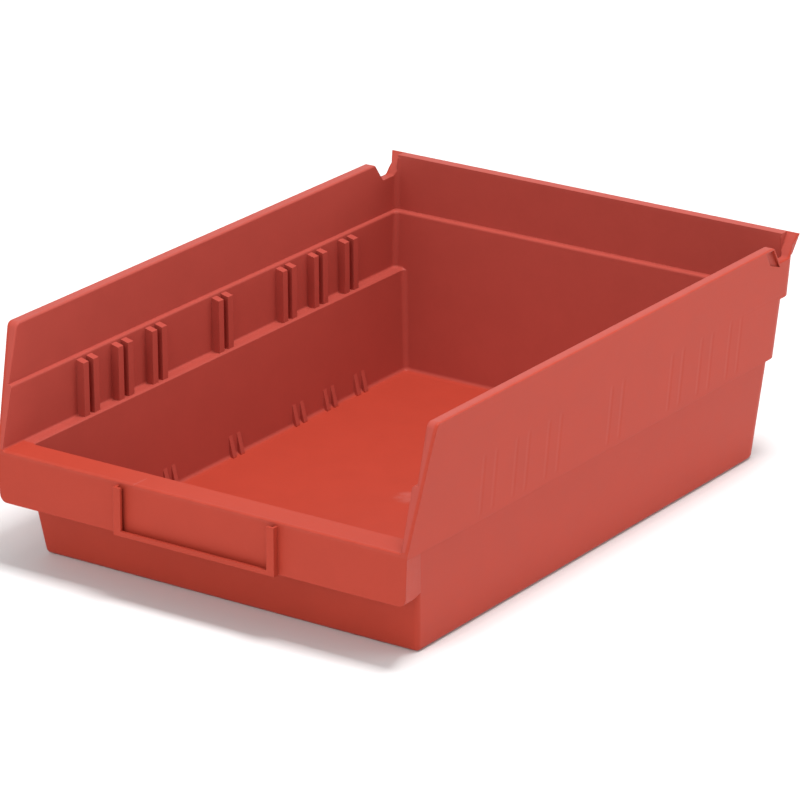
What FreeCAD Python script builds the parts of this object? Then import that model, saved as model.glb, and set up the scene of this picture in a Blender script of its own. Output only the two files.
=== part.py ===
import FreeCAD, Part
import math
import os
import Sketcher
from FreeCAD import Vector

# An open-front shelf bin: one moulding with stepped, drafted walls.
# Millimetres, +Z up, front towards -Y, origin under the middle of the bounding box.

NODE = "shelf_bin"

SIZES = [
    # overall box, the label holder included
    ("bin_width", 212.7),
    ("bin_depth", 297.2),
    ("bin_height", 102.0),
    # levels
    ("rim_height", 50.2),
    ("step_height", 76.5),
    ("lip_rise", 0.8),
    ("floor_thickness", 2.3),
    ("ledge_thickness", 2.5),
    ("step_thickness", 1.7),
    # lower tray, outside
    ("tray_inset", 12.65),
    ("tray_front", 19.6),
    ("tray_rear", 9.6),
    ("side_draft", 6.2),
    ("front_draft", 9.3),
    ("rear_draft", 3.3),
    ("rear_corner", 8.0),
    ("inner_corner", 2.4),
    ("tray_round", 2.2),
    # walls
    ("top_wall", 5.1),
    ("back_wall", 4.8),
    ("front_wall", 2.5),
    ("upper_draft", 4.95),
    ("middle_draft", 0.4),
    ("inner_draft", 3.4),
    ("side_step", 1.9),
    ("rear_step", 3.1),
    ("ledge_width", 5.1),
    ("floor_round", 2.0),
    # open front and the skirt below its rim
    ("front_slope", 14.4),
    ("top_round", 3.0),
    ("skirt_drop", 22.6),
    ("skirt_inset", 5.35),
    ("skirt_wall", 2.4),
    ("skirt_round", 3.5),
    # hanging lip, the notches in front of it and the pocket beside each notch
    ("lip_height", 10.2),
    ("lip_taper", 3.6),
    ("notch_depth", 8.8),
    ("notch_front", 21.8),
    ("notch_run", 6.5),
    ("notch_floor", 8.6),
    ("notch_back", 6.2),
    ("notch_round", 1.6),
    ("pocket_depth", 1.9),
    ("pocket_width", 6.2),
    ("pocket_base", 8.8),
    ("pocket_web", 0.9),
    ("pocket_roof", 0.9),
    ("pocket_heel", 1.3),
    ("pocket_toe", 1.7),
    # label holder on the skirt
    ("holder_width", 80.0),
    ("holder_depth", 3.0),
    ("holder_lip", 1.2),
    ("holder_web", 1.2),
    ("holder_post", 3.7),
    ("holder_sill", 2.2),
    ("holder_drop", 1.8),
    # divider slots
    ("slot_shift", 5.0),
    ("slot_pitch", 23.75),
    ("slot_gap", 3.2),
    ("rib_width", 3.6),
    ("rib_depth", 3.8),
    ("rib_drop", 1.3),
    ("rib_slope", 1.2),
    ("fin_width", 2.6),
    ("fin_depth", 1.9),
    ("fin_height", 15.0),
    # shallow round dish where the plastic entered the mould
    ("gate_radius", 5.5),
    ("gate_depth", 0.4),
    # how far cutters and ribs reach past the faces that they meet
    ("overlap", 1.0),
    # softened edges
    ("outer_round", 0.6),
    ("inner_round", 0.9),
    ("step_round", 1.2),
    ("ledge_round", 1.0),
    ("mouth_bevel", 0.6),
]

# The slots counted in pitches from the middle one: that one alone, and three at either end.
FIRST_SLOT = -4
END_SLOTS = 3
END_TO_END = 6

# Derived places, each written once as an expression on the sheet.
FRONT = "(Sizes.holder_depth - Sizes.bin_depth / 2)"
REAR = "(Sizes.bin_depth / 2)"
WALL_TOP = "(Sizes.bin_height - Sizes.lip_rise)"
SKIRT_FOOT = "(Sizes.rim_height - Sizes.skirt_drop)"
LEDGE_FOOT = "(Sizes.rim_height - Sizes.ledge_thickness)"
STEP_FOOT = "(Sizes.step_height - Sizes.step_thickness)"
NOTCH_FOOT = "(%s - Sizes.notch_depth)" % WALL_TOP
NOTCH_EDGE = "(%s - Sizes.notch_front)" % REAR
UPPER_INNER = "(Sizes.bin_width / 2 - Sizes.top_wall)"
UPPER_BACK = "(%s - Sizes.back_wall)" % REAR
SKIRT_HALF = "(Sizes.bin_width / 2 - Sizes.skirt_inset)"


def rise(angle, height):
    return "tan(Sizes.%s * 1 deg) * (%s)" % (angle, height)


def tray_half(z):
    return "(Sizes.bin_width / 2 - Sizes.tray_inset + %s)" % rise("side_draft", z)


def tray_face(z):
    return "(%s + Sizes.tray_front - %s)" % (FRONT, rise("front_draft", z))


def rear_face(z):
    return "(%s - Sizes.tray_rear + %s)" % (REAR, rise("rear_draft", z))


def upper_half(z):
    return "(Sizes.bin_width / 2 - %s)" % rise("upper_draft", "%s - (%s)" % (WALL_TOP, z))


def upper_rear(z):
    return REAR


def upper_inner(z):
    return UPPER_INNER


def upper_back(z):
    return UPPER_BACK


def middle_half(z):
    drop = rise("middle_draft", "Sizes.step_height - (%s)" % z)
    return "(%s - Sizes.side_step - %s)" % (UPPER_INNER, drop)


def inner_back(z):
    drop = rise("rear_draft", "Sizes.step_height - (%s)" % z)
    return "(%s - Sizes.rear_step - %s)" % (UPPER_BACK, drop)


def lower_half(z):
    drop = rise("inner_draft", "Sizes.rim_height - (%s)" % z)
    return "(%s - Sizes.ledge_width - %s)" % (middle_half("Sizes.rim_height"), drop)


def lower_face(z):
    return "(%s + Sizes.front_wall)" % tray_face(z)


doc = FreeCAD.newDocument("ShelfBin")
sheet = doc.addObject("Spreadsheet::Sheet", "Sizes")
for row, (alias, value) in enumerate(SIZES, start=1):
    sheet.set("A%d" % row, alias)
    sheet.set("B%d" % row, str(value))
    sheet.setAlias("B%d" % row, alias)
doc.recompute()

body = doc.addObject("PartDesign::Body", NODE)
body.Label = NODE
body.Placement = FreeCAD.Placement()
probe = doc.addObject("App::FeaturePython", "Probe")
probe.addProperty("App::PropertyFloat", "Reading")


def value_of(expression):
    """Number that an expression on the sheet gives now."""
    probe.setExpression("Reading", expression)
    probe.recompute()
    return probe.Reading


def origin_part(role):
    return next(f for f in body.Origin.OriginFeatures if f.Role == role)


def new_sketch(name, role, offset):
    """Sketch on one of the body's planes, moved along its normal."""
    sketch = body.newObject("Sketcher::SketchObject", name)
    sketch.AttachmentSupport = [(origin_part(role), "")]
    sketch.MapMode = "FlatFace"
    sketch.setExpression(".AttachmentOffset.Base.z", offset)
    doc.recompute()
    return sketch


def datum(sketch, expression, kind, *where):
    """Dimension whose value follows an expression on the sheet."""
    index = sketch.addConstraint(Sketcher.Constraint(kind, *where, value_of(expression)))
    sketch.setExpression("Constraints[%d]" % index, expression)


def place_point(sketch, element, point, u, v):
    datum(sketch, u, "DistanceX", -1, 1, element, point)
    datum(sketch, v, "DistanceY", -1, 1, element, point)


def corner_arc(before, corner, after, radius):
    """Tangent points and arc that round one corner, and whether it turns left."""
    arrive = (corner - before).normalize()
    leave = (after - corner).normalize()
    left = arrive.cross(leave).z > 0
    turn = arrive.getAngle(leave)
    reach = radius * math.tan(turn / 2)
    start = corner - arrive * reach
    finish = corner + leave * reach
    inward = (leave - arrive).normalize()
    centre = corner + inward * (radius / math.cos(turn / 2))
    middle = centre - inward * radius
    return start, finish, Part.Arc(start, middle, finish), left


def outline(sketch, corners):
    """Closed outline; a corner is two expressions and, if rounded, its radius."""
    points = [Vector(value_of(c[0]), value_of(c[1]), 0) for c in corners]
    count = len(points)
    rounds = {}
    for i, corner in enumerate(corners):
        if len(corner) == 3:
            rounds[i] = corner_arc(points[i - 1], points[i], points[(i + 1) % count],
                                   value_of(corner[2]))
    for i in range(count):
        after = (i + 1) % count
        start = rounds[i][1] if i in rounds else points[i]
        finish = rounds[after][0] if after in rounds else points[after]
        sketch.addGeometry(Part.LineSegment(start, finish), False)
    for i, corner in enumerate(corners):
        arriving = (i - 1) % count
        if i not in rounds:
            sketch.addConstraint(Sketcher.Constraint("Coincident", arriving, 2, i, 1))
            place_point(sketch, i, 1, corner[0], corner[1])
            continue
        arc = sketch.addGeometry(rounds[i][2], False)
        first, last = (1, 2) if rounds[i][3] else (2, 1)
        sketch.addConstraint(Sketcher.Constraint("Tangent", arriving, 2, arc, first))
        sketch.addConstraint(Sketcher.Constraint("Tangent", arc, last, i, 1))
        datum(sketch, corner[2], "Radius", arc)
        sharp = sketch.addGeometry(Part.Point(points[i]), True)
        sketch.addConstraint(Sketcher.Constraint("PointOnObject", sharp, 1, arriving))
        sketch.addConstraint(Sketcher.Constraint("PointOnObject", sharp, 1, i))
        place_point(sketch, sharp, 1, corner[0], corner[1])
    doc.recompute()
    return sketch


def plan(name, z, corners):
    return outline(new_sketch(name, "XY_Plane", z), corners)


def volume_now():
    shape = body.Shape
    return 0.0 if shape.isNull() else shape.Volume


def settle(feature, before, grows):
    """Recompute and make sure that the feature changed the solid."""
    recompute_to(feature)
    gain = feature.Shape.Volume - before
    assert (gain if grows else -gain) > 1e-3, "%s changed nothing" % feature.Name
    return feature


def recompute_to(feature):
    """Make a feature the body's last one and stop if its shape is faulty."""
    body.Tip = feature
    doc.recompute()
    shape = feature.Shape
    assert not shape.isNull() and shape.isValid(), "%s left a faulty shape" % feature.Name


def loft(name, first, second, cut=False):
    before = volume_now()
    kind = "PartDesign::SubtractiveLoft" if cut else "PartDesign::AdditiveLoft"
    feature = body.newObject(kind, name)
    feature.Profile = first
    feature.Sections = [second]
    feature.Ruled = True
    return settle(feature, before, not cut)


def wedge(name, low, high, cut=False):
    """Drafted block between two levels, each with its half width, front and rear."""
    before = volume_now()
    kind = "PartDesign::SubtractiveWedge" if cut else "PartDesign::AdditiveWedge"
    feature = body.newObject(kind, name)
    feature.AttachmentSupport = [(origin_part("XZ_Plane"), "")]
    feature.MapMode = "FlatFace"
    for level, turn, (z, half, front, rear) in (("min", "", low), ("max", "2", high)):
        feature.setExpression("Y" + level, z)
        feature.setExpression("X%smin" % turn, "-" + half)
        feature.setExpression("X%smax" % turn, half)
        feature.setExpression("Z%smin" % turn, "-" + rear)
        feature.setExpression("Z%smax" % turn, "-" + front)
    return settle(feature, before, not cut)


def upright(half, depth, low, high):
    """Test for the upright edges where a side meets a front or rear face."""
    foot = value_of(low)
    top = value_of(high)

    def test(middle, run):
        level = "%.4f" % middle.z
        return (foot < middle.z < top and near(abs(middle.x), value_of(half(level)))
                and near(middle.y, value_of(depth(level))))
    return test


def pad(name, sketch, length):
    before = volume_now()
    feature = body.newObject("PartDesign::Pad", name)
    feature.Profile = sketch
    feature.setExpression("Length", length)
    return settle(feature, before, True)


def pocket(name, sketch, length, both_ways=False, reverse=False):
    before = volume_now()
    feature = body.newObject("PartDesign::Pocket", name)
    feature.Profile = sketch
    feature.SideType = "Symmetric" if both_ways else "One side"
    feature.Reversed = reverse
    feature.setExpression("Length", length)
    return settle(feature, before, False)


def edges_where(test):
    """Names of the body's edges whose middle and run pass a test."""
    names = []
    for i, edge in enumerate(body.Shape.Edges, start=1):
        first, last = edge.ParameterRange
        middle = edge.valueAt((first + last) / 2)
        run = edge.valueAt(last) - edge.valueAt(first)
        if test(middle, run):
            names.append("Edge%d" % i)
    return names


def dress(kind, name, test, setting, size):
    """Fillet or chamfer on the edges that pass a test."""
    base = body.Tip
    names = edges_where(test)
    assert names, "%s found no edges" % name
    feature = body.newObject(kind, name)
    feature.Base = (base, names)
    feature.setExpression(setting, size)
    recompute_to(feature)
    return feature


def fillet(name, radius, test):
    return dress("PartDesign::Fillet", name, test, "Radius", radius)


def chamfer(name, size, test):
    return dress("PartDesign::Chamfer", name, test, "Size", size)


def near(a, b, slack=0.02):
    return abs(a - b) < slack


# Lower tray, drafted more at the front than at the sides and the rear.
def tray():
    wedge("Tray", *[(z, tray_half(z), tray_face(z), rear_face(z)) for z in ("0", LEDGE_FOOT)])
    fillet("TrayCorners", "Sizes.rear_corner", upright(tray_half, rear_face, "0", LEDGE_FOOT))
    front_edge = upright(tray_half, tray_face, "0", LEDGE_FOOT)
    fillet("TrayRound", "Sizes.tray_round",
           lambda middle, run: near(middle.z, 0) or front_edge(middle, run))


# Skirt with its two returns, which lean in to the tray's front edges and leave a finger gap.
def skirt():
    low = skirt_plan("SkirtFoot", SKIRT_FOOT, SKIRT_HALF)
    high = skirt_plan("SkirtHead", LEDGE_FOOT, upper_half(LEDGE_FOOT))
    loft("Skirt", low, high)
    skirt_corner("Left", "-1")
    skirt_corner("Right", "1")


def skirt_plan(name, z, outer_half):
    heel = tray_face(z) + " + Sizes.tray_round + Sizes.overlap"
    heel_half = "(%s - Sizes.overlap / 4)" % tray_half(z)
    inner_half = "(%s - Sizes.skirt_wall)" % tray_half(z)
    right = [(outer_half, FRONT), (heel_half, heel), (inner_half, heel),
             (inner_half, tray_face(z) + " + Sizes.overlap"),
             ("(%s - Sizes.skirt_wall)" % outer_half, FRONT + " + Sizes.skirt_wall")]
    left = [("-" + x, y) for x, y in reversed(right)]
    return plan(name, z, right + left)


def skirt_corner(side, sign):
    """Round the lower corner of the skirt, seen from the front."""
    edge = "%s * %s" % (sign, SKIRT_HALF)
    inner = "%s * (%s - Sizes.skirt_round)" % (sign, SKIRT_HALF)
    outer = "%s * (%s + Sizes.overlap)" % (sign, SKIRT_HALF)
    below = "(%s - Sizes.overlap)" % SKIRT_FOOT
    above = "(%s + Sizes.skirt_round)" % SKIRT_FOOT
    sketch = outline(new_sketch("Corner" + side + "Shape", "XZ_Plane", "-" + FRONT), [
        (inner, below), (outer, below), (outer, above), (edge, above),
        (edge, SKIRT_FOOT, "Sizes.skirt_round * 0.98"), (inner, SKIRT_FOOT)])
    pocket("Corner" + side, sketch, "Sizes.tray_front")


# Middle and upper walls, one stacked on the other.
def walls():
    wedge("MiddleWalls", *[(z, upper_half(z), FRONT, rear_face(z)) for z in (LEDGE_FOOT, STEP_FOOT)])
    fillet("MiddleCorners", "Sizes.rear_corner", upright(upper_half, rear_face, LEDGE_FOOT, STEP_FOOT))
    wedge("UpperWalls", *[(z, upper_half(z), FRONT, REAR) for z in (STEP_FOOT, WALL_TOP)])
    fillet("UpperCorners", "Sizes.rear_corner", upright(upper_half, upper_rear, STEP_FOOT, WALL_TOP))


# Hanging lip along the top of the back wall, with leaning ends.
def hanging_lip():
    wide = "(Sizes.bin_width / 2)"
    narrow = "(Sizes.bin_width / 2 - Sizes.lip_taper)"
    foot = "Sizes.bin_height - Sizes.lip_height"
    sketch = outline(new_sketch("LipShape", "XZ_Plane", "-" + REAR), [
        ("-" + narrow, foot), (narrow, foot),
        (wide, "Sizes.bin_height"), ("-" + wide, "Sizes.bin_height")])
    pad("HangingLip", sketch, "Sizes.back_wall")


# Cavities, each as wide as the walls of its own level leave it.
def cavities():
    floor = "Sizes.floor_thickness"
    rim = "Sizes.rim_height"
    step = "Sizes.step_height"
    top = "Sizes.bin_height"
    ahead = "(%s - Sizes.front_slope)" % FRONT
    floor_level = value_of(floor)
    wedge("LowerCavity", *[(z, lower_half(z), lower_face(z), inner_back(z))
                           for z in (floor, past(rim))], cut=True)
    fillet("LowerCorners", "Sizes.inner_corner", upright(lower_half, inner_back, floor, past(rim)))
    front_edge = upright(lower_half, lower_face, floor, past(rim))
    fillet("FloorRound", "Sizes.floor_round",
           lambda middle, run: near(middle.z, floor_level) or front_edge(middle, run))
    wedge("MiddleCavity", *[(z, middle_half(z), ahead, inner_back(z))
                            for z in (rim, past(step))], cut=True)
    fillet("MiddleInside", "Sizes.inner_corner", upright(middle_half, inner_back, rim, past(step)))
    wedge("UpperCavity", *[(z, upper_inner(z), ahead, upper_back(z))
                           for z in (step, past(top))], cut=True)
    fillet("UpperInside", "Sizes.inner_corner", upright(upper_inner, upper_back, step, past(top)))


def past(z):
    return "(%s + Sizes.overlap)" % z


# Open front: everything above the rim and in front of the leaning wall ends.
def open_front():
    ahead = "(%s - Sizes.front_slope)" % FRONT
    back = "(%s + Sizes.front_slope)" % FRONT
    high = "(Sizes.bin_height + Sizes.front_slope)"
    sketch = outline(new_sketch("FrontShape", "YZ_Plane", "0"), [
        (ahead, "Sizes.rim_height"), (FRONT, "Sizes.rim_height"),
        (back, WALL_TOP), (back, high), (ahead, high)])
    pocket("OpenFront", sketch, "Sizes.bin_width * 2", both_ways=True)


# Softened edges of the wall tops, the rim and the step inside.
def soft_edges():
    top = value_of(WALL_TOP)
    rim = value_of("Sizes.rim_height")
    step = value_of("Sizes.step_height")
    front = value_of(FRONT)
    front_end = value_of(FRONT + " + Sizes.front_slope")
    outer_half = value_of("Sizes.bin_width / 2")
    inner_half = value_of(UPPER_INNER)
    step_half = value_of(middle_half("Sizes.step_height"))
    ledge_half = value_of(middle_half("Sizes.rim_height"))
    mouth_front = value_of(lower_face("Sizes.rim_height"))
    fillet("WallTopEnds", "Sizes.top_round", lambda middle, run: (
        near(middle.z, top) and near(middle.y, front_end) and across(run)))
    fillet("OuterTop", "Sizes.outer_round", lambda middle, run: (
        near(middle.z, top) and near(abs(middle.x), outer_half) and along(run)))
    fillet("InnerTop", "Sizes.inner_round", lambda middle, run: (
        near(middle.z, top) and near(abs(middle.x), inner_half) and along(run)))
    fillet("StepEdge", "Sizes.step_round", lambda middle, run: (
        near(middle.z, step) and near(abs(middle.x), step_half) and along(run)))
    fillet("RimFront", "Sizes.inner_round", lambda middle, run: (
        near(middle.z, rim) and near(middle.y, front) and near(middle.x, 0) and across(run)))
    chamfer("RimMouth", "Sizes.mouth_bevel", lambda middle, run: (
        near(middle.z, rim) and near(middle.y, mouth_front) and across(run)))
    fillet("LedgeCorner", "Sizes.ledge_round", lambda middle, run: (
        near(middle.z, rim) and near(abs(middle.x), ledge_half) and along(run)))


def across(run):
    return abs(run.x) > 0.99 * run.Length


def along(run):
    return abs(run.y) > 0.99 * run.Length


# Notches in the side walls, each from a rounded front lip back to the leaning end of the hanging lip.
def notches():
    floor_start = "(%s + Sizes.notch_run)" % NOTCH_EDGE
    floor_end = "(%s + Sizes.notch_floor)" % floor_start
    far_edge = "(%s + Sizes.notch_back)" % floor_end
    ahead = "(%s - Sizes.notch_depth)" % NOTCH_EDGE
    skim = "(%s + Sizes.overlap / 20)" % WALL_TOP
    high = "(Sizes.bin_height + Sizes.notch_depth)"
    sketch = outline(new_sketch("NotchShape", "YZ_Plane", past("Sizes.bin_width / 2")), [
        (ahead, high), (ahead, skim), (NOTCH_EDGE, skim, "Sizes.notch_round"),
        (floor_start, NOTCH_FOOT, "Sizes.notch_round"), (floor_end, NOTCH_FOOT, "Sizes.notch_round"),
        (far_edge, "Sizes.bin_height"), (far_edge, high)])
    one = pocket("Notch", sketch, "Sizes.top_wall + Sizes.overlap * 2")
    mirror("Notches", [one])


# Shallow pocket on the outside of each wall, along the notch's front slope.
def wall_pockets():
    lean = "Sizes.notch_run / Sizes.notch_depth"
    top_edge = "(%s + %s * Sizes.pocket_roof - Sizes.pocket_web)" % (NOTCH_EDGE, lean)
    foot_edge = "(%s + %s * (Sizes.notch_depth + Sizes.pocket_toe) - Sizes.pocket_web)" % (NOTCH_EDGE, lean)
    roof = "(%s - Sizes.pocket_roof)" % WALL_TOP
    sketch = outline(new_sketch("PocketShape", "YZ_Plane", "Sizes.bin_width / 2"), [
        (top_edge, roof),
        ("(%s - Sizes.pocket_width)" % top_edge, roof),
        ("(%s - Sizes.pocket_base)" % foot_edge, NOTCH_FOOT + " + Sizes.pocket_heel"),
        (foot_edge, NOTCH_FOOT + " - Sizes.pocket_toe")])
    one = pocket("WallPocket", sketch, "Sizes.pocket_depth")
    mirror("WallPockets", [one])


def mirror(name, features):
    before = volume_now()
    feature = body.newObject("PartDesign::Mirrored", name)
    feature.Originals = features
    feature.MirrorPlane = (origin_part("YZ_Plane"), [""])
    recompute_to(feature)
    assert abs(feature.Shape.Volume - before) > 1e-3, "%s changed nothing" % name
    return feature


# Shallow dish in the middle of the floor, a slice of a large sphere.
def gate_dish():
    floor = "Sizes.floor_thickness"
    middle = "(%s + %s) / 2" % (lower_face(floor), inner_back(floor))
    radius = "((Sizes.gate_radius ^ 2 + Sizes.gate_depth ^ 2) / (2 * Sizes.gate_depth))"
    before = volume_now()
    feature = body.newObject("PartDesign::SubtractiveSphere", "GateDish")
    feature.AttachmentSupport = [(origin_part("XY_Plane"), "")]
    feature.MapMode = "FlatFace"
    feature.setExpression("Radius", radius)
    feature.setExpression(".AttachmentOffset.Base.y", middle)
    feature.setExpression(".AttachmentOffset.Base.z", "%s - Sizes.gate_depth + %s" % (floor, radius))
    settle(feature, before, False)


# Label holder: two posts and a sill that lap over the edges of a card.
def label_holder():
    half = "(Sizes.holder_width / 2)"
    inside = "(Sizes.holder_width / 2 - Sizes.holder_post)"
    groove = "(Sizes.holder_width / 2 - Sizes.holder_web)"
    top = "(Sizes.rim_height - Sizes.holder_drop)"
    sill = "(%s + Sizes.holder_sill)" % SKIRT_FOOT
    frame = outline(new_sketch("HolderShape", "XZ_Plane", "-" + FRONT), [
        ("-" + half, SKIRT_FOOT), (half, SKIRT_FOOT), (half, top), (inside, top),
        (inside, sill), ("-" + inside, sill), ("-" + inside, top), ("-" + half, top)])
    pad("LabelHolder", frame, "Sizes.holder_depth")
    groove_foot = SKIRT_FOOT + " + Sizes.holder_web"
    groove_top = top + " + Sizes.overlap"
    card = outline(new_sketch("CardShape", "XZ_Plane", "-" + FRONT), [
        ("-" + groove, groove_foot), (groove, groove_foot),
        (groove, groove_top), ("-" + groove, groove_top)])
    pocket("CardGroove", card, "Sizes.holder_depth - Sizes.holder_lip", reverse=True)


# Divider slots: pairs of ribs on the middle walls, pairs of fins at the floor.
def rib_corners():
    top = "(Sizes.step_height - Sizes.rib_drop)"
    foot = "(Sizes.rim_height - Sizes.overlap)"
    return [
        (middle_half(foot) + " + Sizes.overlap", foot),
        (middle_half(top) + " + Sizes.overlap", top),
        (middle_half(top) + " - Sizes.rib_depth", top + " - Sizes.rib_slope"),
        (middle_half(foot) + " - Sizes.rib_depth", foot)]


def fin_corners():
    floor = "Sizes.floor_thickness"
    top = "(Sizes.floor_thickness + Sizes.fin_height)"
    foot = "(Sizes.floor_thickness - Sizes.overlap)"
    return [
        (lower_half(floor) + " + Sizes.overlap", foot),
        (lower_half(top) + " + Sizes.overlap", top),
        (lower_half(floor) + " - Sizes.fin_depth", floor),
        (lower_half(floor) + " - Sizes.fin_depth", foot)]


def row(name, length, occurrences):
    feature = body.newObject("PartDesign::LinearPattern", name)
    feature.Direction = (origin_part("Y_Axis"), [""])
    feature.Occurrences = occurrences
    feature.setExpression("Length", length)
    return feature


def divider_slots(kind, corners, width):
    """One rib, repeated as a pair, along the wall and on the other wall."""
    pair = "Sizes.slot_gap + " + width
    slot_set(kind + "Middle", corners, width, 0, [(pair, 2)])
    slot_set(kind + "Ends", corners, width, FIRST_SLOT, [
        (pair, 2), ("Sizes.slot_pitch * %d" % (END_SLOTS - 1), END_SLOTS),
        ("Sizes.slot_pitch * %d" % END_TO_END, 2)])


def slot_set(name, corners, width, first, rows):
    place = "-(Sizes.slot_shift + %d * Sizes.slot_pitch - Sizes.slot_gap / 2)" % first
    sketch = outline(new_sketch(name + "Shape", "XZ_Plane", place), corners)
    one = pad(name, sketch, width)
    before = volume_now()
    steps = [row("%sRow%d" % (name, i), length, count)
             for i, (length, count) in enumerate(rows, start=1)]
    other = body.newObject("PartDesign::Mirrored", name + "Other")
    other.MirrorPlane = (origin_part("YZ_Plane"), [""])
    feature = body.newObject("PartDesign::MultiTransform", name + "Set")
    feature.Originals = [one]
    feature.Transformations = steps + [other]
    settle(feature, before, True)


def write_part():
    doc.removeObject(probe.Name)
    doc.recompute()
    for item in doc.Objects:
        assert not {"Invalid", "Error"} & set(item.State), "%s failed" % item.Name
    shape = body.Shape
    assert not shape.isNull() and shape.isValid(), "the bin's shape is not valid"
    assert len(shape.Solids) == 1, "the bin is not one solid"
    os.makedirs("parts", exist_ok=True)
    shape.exportStep("parts/%s.step" % NODE)
    box = shape.BoundBox
    print("%s %.2f x %.2f x %.2f mm, %.0f mm3" % (
        NODE, box.XLength, box.YLength, box.ZLength, shape.Volume))


tray()
skirt()
walls()
cavities()
open_front()
soft_edges()
hanging_lip()
notches()
wall_pockets()
gate_dish()
label_holder()
divider_slots("Rib", rib_corners(), "Sizes.rib_width")
divider_slots("Fin", fin_corners(), "Sizes.fin_width")
write_part()
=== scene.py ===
import math

import bmesh
import bpy
from bpy.props import FloatProperty, FloatVectorProperty, PointerProperty
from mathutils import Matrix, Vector


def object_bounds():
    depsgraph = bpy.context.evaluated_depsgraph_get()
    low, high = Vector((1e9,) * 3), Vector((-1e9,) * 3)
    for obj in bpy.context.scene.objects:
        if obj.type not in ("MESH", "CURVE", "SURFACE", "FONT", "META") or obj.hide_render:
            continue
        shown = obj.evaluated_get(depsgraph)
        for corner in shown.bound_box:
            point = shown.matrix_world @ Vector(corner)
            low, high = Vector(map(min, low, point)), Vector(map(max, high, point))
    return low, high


bl_info = {
    "name": "Shelf bin",
    "version": (1, 0, 0),
    "blender": (4, 5, 0),
    "location": "View3D > Sidebar > Shelf bin",
    "description": "Moulded red plastic for an open-front shelf bin, and a plain studio round it",
    "category": "Object",
}

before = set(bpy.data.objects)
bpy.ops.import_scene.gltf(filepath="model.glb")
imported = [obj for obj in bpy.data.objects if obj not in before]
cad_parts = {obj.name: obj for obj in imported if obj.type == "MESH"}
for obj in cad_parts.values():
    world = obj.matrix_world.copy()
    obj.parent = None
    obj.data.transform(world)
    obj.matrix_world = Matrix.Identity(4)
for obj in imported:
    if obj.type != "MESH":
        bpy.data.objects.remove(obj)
CAD_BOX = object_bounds()
BIN = "shelf_bin"


class Socket:
    """An output socket that takes part in Python sums, each of which adds a Math node."""

    def __init__(self, tree, link):
        self.tree = tree
        self.link = link

    def node(self, kind, settings=None, **values):
        """New node: its settings first, then a value or a link for each named socket."""
        made = self.tree.nodes.new(kind)
        for key, value in (settings or {}).items():
            setattr(made, key, value)
        for key, value in values.items():
            fill(self.tree, made.inputs[key.replace("_", " ")], value)
        return made

    def maths(self, operation, *terms):
        made = self.node("ShaderNodeMath", {"operation": operation})
        for place, term in zip(made.inputs, terms):
            fill(self.tree, place, term)
        return Socket(self.tree, made.outputs[0])

    def __add__(self, other):
        return self.maths("ADD", self, other)

    __radd__ = __add__

    def __sub__(self, other):
        return self.maths("SUBTRACT", self, other)

    def __rsub__(self, other):
        return self.maths("SUBTRACT", other, self)

    def __mul__(self, other):
        return self.maths("MULTIPLY", self, other)

    __rmul__ = __mul__

    def __abs__(self):
        return self.maths("ABSOLUTE", self)

    def root(self):
        return self.maths("SQRT", self)

    def most(self, other):
        return self.maths("MAXIMUM", self, other)

    def ramp(self, low, high):
        """Smooth rise from 0 at low to 1 at high; high may be the smaller one."""
        made = self.node("ShaderNodeMapRange", {"interpolation_type": "SMOOTHSTEP"},
                         Value=self, From_Min=low, From_Max=high)
        return Socket(self.tree, made.outputs["Result"])

    def between(self, low, high, soft):
        """1 from low to high, fading over a soft edge on either side."""
        return self.ramp(low - soft, low) * self.ramp(high + soft, high)

    def line(self, centre, half):
        """1 on a thin line at the centre, fading to 0 half a width away."""
        return abs(self - centre).ramp(half, 0.0)

    def noise(self, scale, detail=1.0):
        """Noise in the space of this vector, with so many cells a metre."""
        made = self.node("ShaderNodeTexNoise", Vector=self,
                         Scale=scale, Detail=detail, Roughness=0.5)
        return Socket(self.tree, made.outputs[0])

    def mix(self, first, second, blend="MIX"):
        """Colour that goes from the first to the second, or to both blended, with this value.

        The numbered sockets are the colour ones of a node that has a set for each kind of data."""
        made = self.node("ShaderNodeMix", {"data_type": "RGBA", "blend_type": blend})
        fill(self.tree, made.inputs[0], self)
        fill(self.tree, made.inputs[6], first)
        fill(self.tree, made.inputs[7], second)
        return Socket(self.tree, made.outputs[2])


def fill(tree, place, value):
    """Give a socket a link or a plain value."""
    if isinstance(value, Socket):
        tree.links.new(value.link, place)
    elif isinstance(value, bpy.types.NodeSocket):
        tree.links.new(value, place)
    else:
        place.default_value = value


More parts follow.
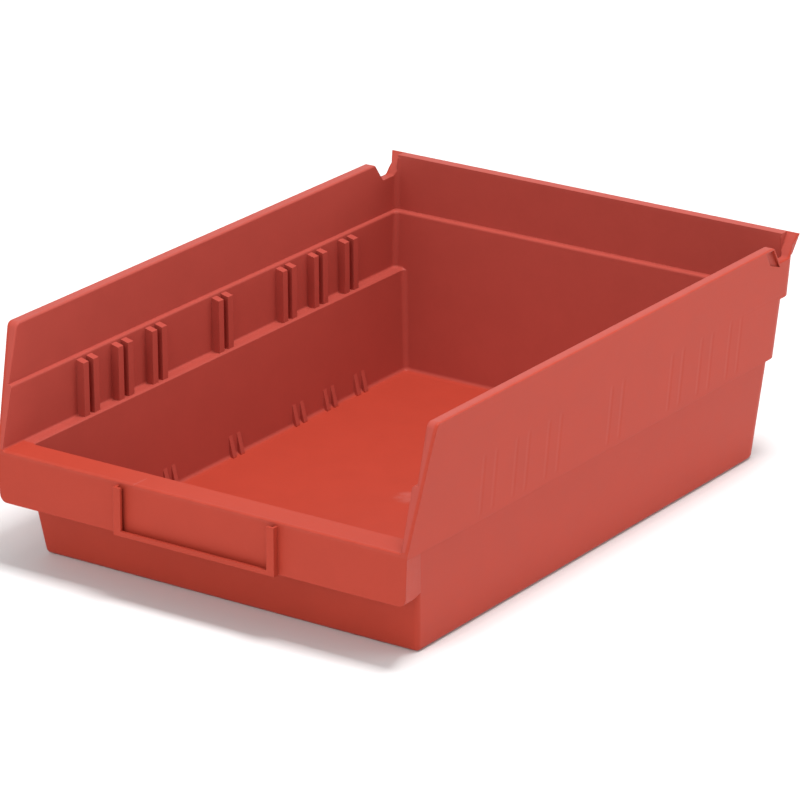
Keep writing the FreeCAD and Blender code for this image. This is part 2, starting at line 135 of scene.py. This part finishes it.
class BinFinishSettings(bpy.types.PropertyGroup):
    """Colour and surface of the moulded plastic."""

    red: FloatVectorProperty(
        name="Red", description="Colour of the plastic", subtype="COLOR",
        size=3, min=0.0, max=1.0, default=(0.4155, 0.0495, 0.0290))
    # Painted sheen: on the inside walls the red is multiplied towards a paler, whiter colour that
    # stands in for the whitish reflection on them.
    inside_painted_sheen: FloatVectorProperty(
        name="Inside tint",
        description="What the colour is multiplied by on the duller inside walls",
        size=3, min=0.0, max=2.0, default=(1.0, 1.38, 1.75))
    gloss: FloatProperty(
        name="Gloss", description="Strength of the reflections", subtype="FACTOR",
        min=0.0, max=1.0, default=0.1)
    cloud: FloatProperty(
        name="Cloud", description="How much the colour drifts from place to place",
        subtype="FACTOR", min=0.0, max=0.3, default=0.025)
    roughness: FloatProperty(
        name="Roughness", description="How satin the skin is", subtype="FACTOR",
        min=0.0, max=1.0, default=0.42)
    grain: FloatProperty(
        name="Grain", description="Depth of the fine grain of the mould", unit="LENGTH",
        min=0.0, max=0.0001, precision=6, default=0.000006)
    inside_grain: FloatProperty(
        name="Inside grain", description="Depth of the coarser grain on the inside walls",
        unit="LENGTH", min=0.0, max=0.0002, precision=6, default=0.000015)
    edge: FloatProperty(
        name="Edge", description="Radius that softens every sharp edge", unit="LENGTH",
        min=0.0, max=0.002, precision=5, default=0.0003)
    sink: FloatProperty(
        name="Sink", description="Depth of the sink marks outside the ribs", unit="LENGTH",
        min=0.0, max=0.0005, precision=6, default=0.0001)


class BinStageSettings(bpy.types.PropertyGroup):
    """Camera, floor and light round the bin."""

    azimuth: FloatProperty(
        name="Azimuth", description="How far the camera stands round to the right", subtype="ANGLE",
        default=math.radians(34.334))
    elevation: FloatProperty(
        name="Elevation", description="How far the camera stands above the floor", subtype="ANGLE",
        default=math.radians(20.3725))
    distance: FloatProperty(
        name="Distance", description="From the camera to the point that it looks at", unit="LENGTH",
        default=2.06229)
    lens: FloatProperty(
        name="Lens", description="Focal length", unit="CAMERA", default=219.312)
    aim: FloatVectorProperty(
        name="Aim", description="Point that the camera looks at", subtype="TRANSLATION",
        size=3, default=(-0.001322, 0.000557, 0.048212))
    floor_colour: FloatVectorProperty(
        name="Floor", description="Colour of the floor", subtype="COLOR",
        size=3, min=0.0, max=1.0, default=(0.85, 0.85, 0.85))
    sky: FloatProperty(
        name="Sky", description="Strength of the even light all round", min=0.0, default=0.45)


# Places on the bin, in metres, that the finish follows.
FLOOR = 0.0023
RIM = 0.0502
STEP = 0.0765
WALL_TOP = 0.1012
HALF_WIDTH = 0.10635
WALL_LEAN = math.tan(math.radians(4.95))
REAR_LEAN = math.tan(math.radians(3.3))
FRONT_LEAN = math.tan(math.radians(9.3))

# Where the cavity ends, measured along the leans, and how much wider it is above rim and step.
CAVITY_SIDE = 0.1012
CAVITY_REAR = 0.1376
CAVITY_FRONT = -0.1247
ABOVE_RIM = 0.0038
ABOVE_STEP = 0.0044
BLUR = 0.0005

# Back and front edges of the top of the front rim.
RIM_BACK = -0.1313
RIM_FRONT = -0.1452

# Divider slots, with a rib on either side of each.
SLOT_MIDDLE = 0.005
SLOT_PITCH = 0.02375
SLOTS = (-4, -3, -2, 0, 2, 3, 4)
RIB_OFFSET = 0.0044
SINK_HALF = 0.0019

# The dish where the plastic entered the mould, and the scratch on the rim.
GATE = 0.0063
SCRATCH_X = -0.0317
SCRATCH_START = -0.1454
SCRATCH_END = -0.1372
SCRATCH_LEAN = 0.036
SCRATCH_HALF = 0.0003
SCRATCH_DEPTH = 0.00002

# Cells a metre in each noise of the plastic.
CLOUD_CELLS = 70.0
SPECK_CELLS = 420.0
RUB_AND_HIGHLIGHT_CELLS = 160.0
GATE_HIGHLIGHT_CELLS = 300.0
FINE_CELLS = 1900.0
COARSE_CELLS = 900.0

# How far a mark takes the colour towards the pale one, which is this much nearer to white.
PALE = 0.10
SCRATCH_PALE = 0.6
# The paler colour along the rubbed edges is a painted highlight.
EDGE_HIGHLIGHT_PALE = 0.12
# The paler patch round the gate dish is a painted highlight.
GATE_HIGHLIGHT_PALE = 0.35

# What each mark adds to the roughness; rubbing takes it away.
SPECK_ROUGH = 0.08
CLOUD_ROUGH = 0.06
INSIDE_ROUGH = 0.06
SCRATCH_ROUGH = 0.12
RUB_SMOOTH = 0.10

# The floor of the stage: half its side, and how far it lies under the bin.
GROUND_HALF = 6.0
GROUND_GAP = 0.0002


class SHELFBIN_OT_finish(bpy.types.Operator):
    """Give the bin its moulded plastic."""

    bl_idname = "shelf_bin.finish"
    bl_label = "Finish the bin"

    def execute(self, context):
        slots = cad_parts[BIN].material_slots
        if not slots:
            raise RuntimeError("the bin has no material slot")
        material = moulded_plastic(context.scene.shelf_bin_finish)
        for slot in slots:
            slot.material = material
        return {"FINISHED"}


def moulded_plastic(look):
    """Satin plastic with drifting colour, fine grain, sink marks and light handling polish, with
    painted light in its colour: a whitish sheen on the inside walls, and highlights on the rubbed
    edges and round the gate dish.
    """
    material = bpy.data.materials.new("moulded_red_plastic")
    material.use_nodes = True
    tree = material.node_tree
    skin = tree.nodes["Principled BSDF"]
    place = Socket(tree, tree.nodes.new("ShaderNodeTexCoord").outputs["Object"])
    split = place.node("ShaderNodeSeparateXYZ", Vector=place)
    x, y, z = (Socket(tree, output) for output in split.outputs)

    cloud = place.noise(CLOUD_CELLS, 2.0)
    speck = place.noise(SPECK_CELLS, 1.0)
    inside = inside_walls(x, y, z)
    # Rubbed places: the lower roughness is polish, and the paler colour is a painted edge
    # highlight.
    rubbed_and_highlight = handling_and_highlight(y, z) * place.noise(RUB_AND_HIGHLIGHT_CELLS, 2.0)
    sunk = sink_marks(x, y, z)
    scratch = rim_scratch(x, y, z)
    # Painted highlight: the floor round the gate dish is made paler where light catches the dish.
    gate_highlight = gate_painted_highlight(x, y, z) * place.noise(GATE_HIGHLIGHT_CELLS, 2.0).ramp(0.2, 0.7)

    dark = tuple(part * (1.0 - look.cloud) for part in look.red) + (1.0,)
    light = tuple(part * (1.0 + look.cloud) for part in look.red) + (1.0,)
    pale = tuple(part + (1.0 - part) * PALE for part in look.red) + (1.0,)
    shade = (cloud * 0.7 + speck * 0.3).ramp(0.25, 0.75).mix(dark, light)
    # Painted sheen: the inside walls get a paler, whiter red in place of the whitish reflection on
    # them.
    shade = inside.mix(shade, (*look.inside_painted_sheen, 1.0), "MULTIPLY")
    # The rubbed edges and the gate patch are painted highlights; the scratch is a pale mark of its
    # own.
    marks = scratch * SCRATCH_PALE + rubbed_and_highlight * EDGE_HIGHLIGHT_PALE + gate_highlight * GATE_HIGHLIGHT_PALE
    shade = marks.mix(shade, pale)
    fill(tree, skin.inputs["Base Color"], shade)

    rough = (look.roughness + (speck - 0.5) * SPECK_ROUGH + (cloud - 0.5) * CLOUD_ROUGH
             + inside * INSIDE_ROUGH + scratch * SCRATCH_ROUGH - rubbed_and_highlight * RUB_SMOOTH)
    fill(tree, skin.inputs["Roughness"], rough)
    skin.inputs["IOR"].default_value = 1.49
    skin.inputs["Specular IOR Level"].default_value = look.gloss

    fine = place.noise(FINE_CELLS, 1.0) * look.grain
    coarse = place.noise(COARSE_CELLS, 2.0) * inside * look.inside_grain
    depth = fine + coarse - sunk * look.sink - scratch * SCRATCH_DEPTH
    soft_edge = place.node("ShaderNodeBevel", {"samples": 6}, Radius=look.edge)
    bump = place.node("ShaderNodeBump", Height=depth, Distance=1.0, Strength=1.0,
                      Normal=soft_edge.outputs[0])
    fill(tree, skin.inputs["Normal"], bump.outputs[0])
    return material


def inside_walls(x, y, z):
    """1 on the walls of the cavity, which get a painted whitish sheen in their colour and a
    rougher, coarser-grained skin, and 0 elsewhere.
    """
    above = z.ramp(RIM - 0.0008, RIM - 0.0004)
    side = abs(x) + (WALL_TOP - z) * WALL_LEAN - above * ABOVE_RIM
    behind = y - z * REAR_LEAN - z.ramp(STEP - 0.0012, STEP - 0.0006) * ABOVE_STEP
    ahead = (y + z * FRONT_LEAN).ramp(CAVITY_FRONT - BLUR, CAVITY_FRONT + BLUR)
    rim_top = (z.between(RIM - 0.003, RIM + 0.0004, 0.0003)
               * y.ramp(RIM_BACK + 0.0003, RIM_BACK - 0.0003))
    return (side.ramp(CAVITY_SIDE + BLUR, CAVITY_SIDE - BLUR)
            * behind.ramp(CAVITY_REAR + BLUR, CAVITY_REAR - BLUR)
            * ahead.most(above) * z.ramp(FLOOR, FLOOR + 0.001) * (1 - rim_top))


def handling_and_highlight(y, z):
    """Where hands and shelves polish the bin, and where the colour is made paler as a painted edge
    highlight: the wall tops, the rim's front edge and the foot.
    """
    top = z.ramp(WALL_TOP - 0.0012, WALL_TOP - 0.0002)
    rim = (z.between(RIM - 0.0015, RIM + 0.0002, 0.0004)
           * y.ramp(RIM_FRONT + 0.0017, RIM_FRONT))
    foot = z.ramp(0.0022, 0.0004)
    return top.most(rim).most(foot)


def sink_marks(x, y, z):
    """Faint lines outside the side walls, opposite the ribs and the end of the step inside."""
    lean_free = abs(x) + (WALL_TOP - z) * WALL_LEAN
    outside = lean_free.ramp(HALF_WIDTH - 0.0006, HALF_WIDTH - 0.0002)
    ribs = 0.0
    for slot in SLOTS:
        from_slot = abs(y - (SLOT_MIDDLE + slot * SLOT_PITCH))
        ribs = from_slot.line(RIB_OFFSET, SINK_HALF) + ribs
    ribs = ribs * z.between(RIM + 0.002, STEP - 0.002, 0.003)
    step = z.line(STEP, 0.0012) * y.ramp(0.08, 0.12)
    return outside * (ribs + step * 0.4)


def rim_scratch(x, y, z):
    """One short scratch across the front rim."""
    lean = (y - SCRATCH_START) * SCRATCH_LEAN
    return ((x - lean).line(SCRATCH_X, SCRATCH_HALF) * y.between(RIM_FRONT, SCRATCH_END, 0.0004)
            * z.between(RIM - 0.0004, RIM + 0.0002, 0.0002))


def gate_painted_highlight(x, y, z):
    """Painted highlight: a paler patch on the floor round the dish where the plastic entered the
    mould.
    """
    along = y - GATE
    away = (x * x + along * along).root()
    return away.ramp(0.0085, 0.0050) * z.between(FLOOR - 0.0006, FLOOR + 0.0001, 0.0002)


# Softboxes: azimuth and elevation in degrees, distance and sides in metres, watts.
SOFTBOXES = {
    "top": (0, 89.9, 1.8, (0.5, 0.5), 7.4),
    "top_right": (95, 78, 1.8, (0.5, 0.5), 24.8),
    "front": (0, 25, 1.8, (1.4, 1.2), 13.3),
    "rear_right": (130, 25, 1.8, (1.4, 1.2), 5.8),
    "rear_right_low": (115, 10, 1.8, (1.4, 0.6), 5.7),
    "rear_left": (214, 20, 1.8, (1.4, 1.2), 1.8),
}


class SHELFBIN_OT_stage(bpy.types.Operator):
    """Set the camera, the floor and the soft light round the bin."""

    bl_idname = "shelf_bin.stage"
    bl_label = "Set the stage"

    def execute(self, context):
        stage = context.scene.shelf_bin_stage
        set_camera(context.scene, stage)
        lay_floor(context.scene, stage)
        hang_lights(context.scene)
        light_sky(context.scene, stage)
        context.scene.view_settings.view_transform = "Standard"
        return {"FINISHED"}


def outward(azimuth, elevation):
    """Unit vector from the middle towards a place round the object."""
    return Vector((math.sin(azimuth) * math.cos(elevation),
                   -math.cos(azimuth) * math.cos(elevation),
                   math.sin(elevation)))


def set_camera(scene, stage):
    """Camera that looks at the aim from the angle and distance of the settings."""
    data = bpy.data.cameras.new("camera")
    data.lens = stage.lens
    data.clip_start = 0.05
    data.clip_end = 50.0
    camera = bpy.data.objects.new("camera", data)
    back = outward(stage.azimuth, stage.elevation)
    camera.location = Vector(stage.aim) + back * stage.distance
    camera.rotation_euler = (-back).to_track_quat("-Z", "Y").to_euler()
    scene.collection.objects.link(camera)
    scene.camera = camera


def lay_floor(scene, stage):
    """Wide plain floor just under the bin."""
    shape = bmesh.new()
    bmesh.ops.create_grid(shape, x_segments=1, y_segments=1, size=GROUND_HALF)
    bmesh.ops.translate(shape, verts=shape.verts, vec=(0.0, 0.0, CAD_BOX[0].z - GROUND_GAP))
    mesh = bpy.data.meshes.new("floor")
    shape.to_mesh(mesh)
    shape.free()
    material = bpy.data.materials.new("pale_floor")
    material.use_nodes = True
    paint = material.node_tree.nodes["Principled BSDF"]
    paint.inputs["Base Color"].default_value = (*stage.floor_colour, 1.0)
    paint.inputs["Roughness"].default_value = 0.9
    paint.inputs["Specular IOR Level"].default_value = 0.1
    mesh.materials.append(material)
    floor = bpy.data.objects.new("floor", mesh)
    scene.collection.objects.link(floor)


def hang_lights(scene):
    """Rectangular softboxes that face the middle of the bin."""
    middle = (CAD_BOX[0] + CAD_BOX[1]) / 2
    for name, (azimuth, elevation, distance, sides, watts) in SOFTBOXES.items():
        data = bpy.data.lights.new("softbox_" + name, "AREA")
        data.shape = "RECTANGLE"
        data.size, data.size_y = sides
        data.energy = watts
        lamp = bpy.data.objects.new("softbox_" + name, data)
        way = outward(math.radians(azimuth), math.radians(elevation))
        lamp.location = middle + way * distance
        lamp.rotation_euler = (-way).to_track_quat("-Z", "Y").to_euler()
        scene.collection.objects.link(lamp)


def light_sky(scene, stage):
    """Even white light from all round."""
    world = bpy.data.worlds.new("soft_sky")
    world.use_nodes = True
    sky = world.node_tree.nodes["Background"]
    sky.inputs["Color"].default_value = (1.0, 1.0, 1.0, 1.0)
    sky.inputs["Strength"].default_value = stage.sky
    scene.world = world


class SHELFBIN_PT_panel(bpy.types.Panel):
    """Settings and steps of the shelf bin."""

    bl_label = "Shelf bin"
    bl_idname = "SHELFBIN_PT_panel"
    bl_space_type = "VIEW_3D"
    bl_region_type = "UI"
    bl_category = "Shelf bin"

    def draw(self, context):
        layout = self.layout
        for group in (context.scene.shelf_bin_finish, context.scene.shelf_bin_stage):
            box = layout.box()
            for key in group.__annotations__:
                box.prop(group, key)
        for step in STEPS:
            layout.operator(step.bl_idname)


STEPS = (SHELFBIN_OT_finish, SHELFBIN_OT_stage)
CLASSES = (BinFinishSettings, BinStageSettings, *STEPS, SHELFBIN_PT_panel)


def register():
    for item in CLASSES:
        bpy.utils.register_class(item)
    bpy.types.Scene.shelf_bin_finish = PointerProperty(type=BinFinishSettings)
    bpy.types.Scene.shelf_bin_stage = PointerProperty(type=BinStageSettings)


def unregister():
    del bpy.types.Scene.shelf_bin_stage
    del bpy.types.Scene.shelf_bin_finish
    for item in reversed(CLASSES):
        bpy.utils.unregister_class(item)


def main():
    register()
    bpy.ops.shelf_bin.finish()
    bpy.ops.shelf_bin.stage()


if __name__ == "__main__":
    main()
